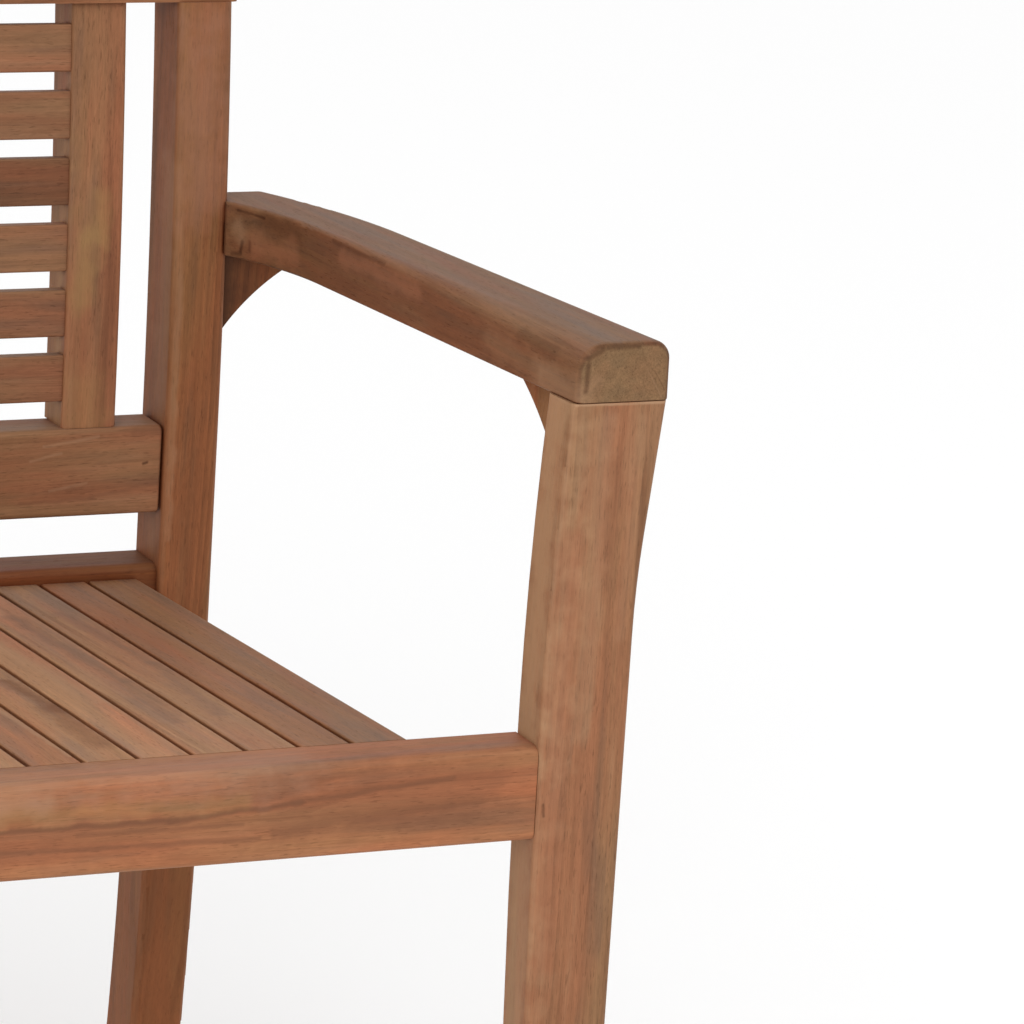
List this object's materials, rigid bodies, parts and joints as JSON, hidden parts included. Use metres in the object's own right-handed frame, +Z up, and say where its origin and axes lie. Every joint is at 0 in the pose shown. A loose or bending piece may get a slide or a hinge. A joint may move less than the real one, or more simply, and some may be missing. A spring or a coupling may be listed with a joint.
{
  "type": "garden bench",
  "caption": "Slatted wooden garden bench with flared front legs, bowed rear posts, flat tapered armrests on curved brackets and a two-panel slatted back.",
  "frame": {"origin": "on the ground, under the middle of the bench's outer box", "axes": "+Z up, the bench faces -Y, its length runs along X, and right means the +X side"},
  "size_m": [1.1026, 0.5388, 0.8826],
  "materials": {
    "teak": "fine-sanded, untreated, matt, with visible grain",
    "hardwood_dowel": "plain matt end grain",
    "stainless_screw": "satin"
  },
  "bodies": {
    "root": {"arm_bracket_front_left": "teak", "arm_bracket_front_right": "teak", "arm_bracket_rear_left": "teak", "arm_bracket_rear_right": "teak", "armrest_left": "teak", "armrest_right": "teak", "back_slat_left_1": "teak", "back_slat_left_2": "teak", "back_slat_left_3": "teak", "back_slat_left_4": "teak", "back_slat_left_5": "teak", "back_slat_left_6": "teak", "back_slat_right_1": "teak", "back_slat_right_2": "teak", "back_slat_right_3": "teak", "back_slat_right_4": "teak", "back_slat_right_5": "teak", "back_slat_right_6": "teak", "back_stile_left_inner": "teak", "back_stile_left_outer": "teak", "back_stile_right_inner": "teak", "back_stile_right_outer": "teak", "crest_rail": "teak", "fixing_screws": "stainless_screw", "front_leg_left": "teak", "front_leg_right": "teak", "front_rail": "teak", "joint_dowels": "hardwood_dowel", "lower_back_rail": "teak", "rear_post_left": "teak", "rear_post_right": "teak", "rear_seat_rail": "teak", "seat_bearer": "teak", "seat_slat_01": "teak", "seat_slat_02": "teak", "seat_slat_03": "teak", "seat_slat_04": "teak", "seat_slat_05": "teak", "seat_slat_06": "teak", "seat_slat_07": "teak", "seat_slat_08": "teak", "seat_slat_09": "teak", "seat_slat_10": "teak", "seat_slat_11": "teak", "seat_slat_12": "teak", "seat_slat_13": "teak", "seat_slat_14": "teak", "seat_slat_15": "teak", "seat_slat_16": "teak", "seat_slat_17": "teak", "seat_slat_18": "teak", "seat_slat_19": "teak", "seat_slat_20": "teak", "seat_slat_21": "teak", "seat_slat_22": "teak", "seat_slat_23": "teak", "seat_slat_24": "teak", "seat_slat_25": "teak", "side_rail_left": "teak", "side_rail_right": "teak"}
  },
  "joints": []
}
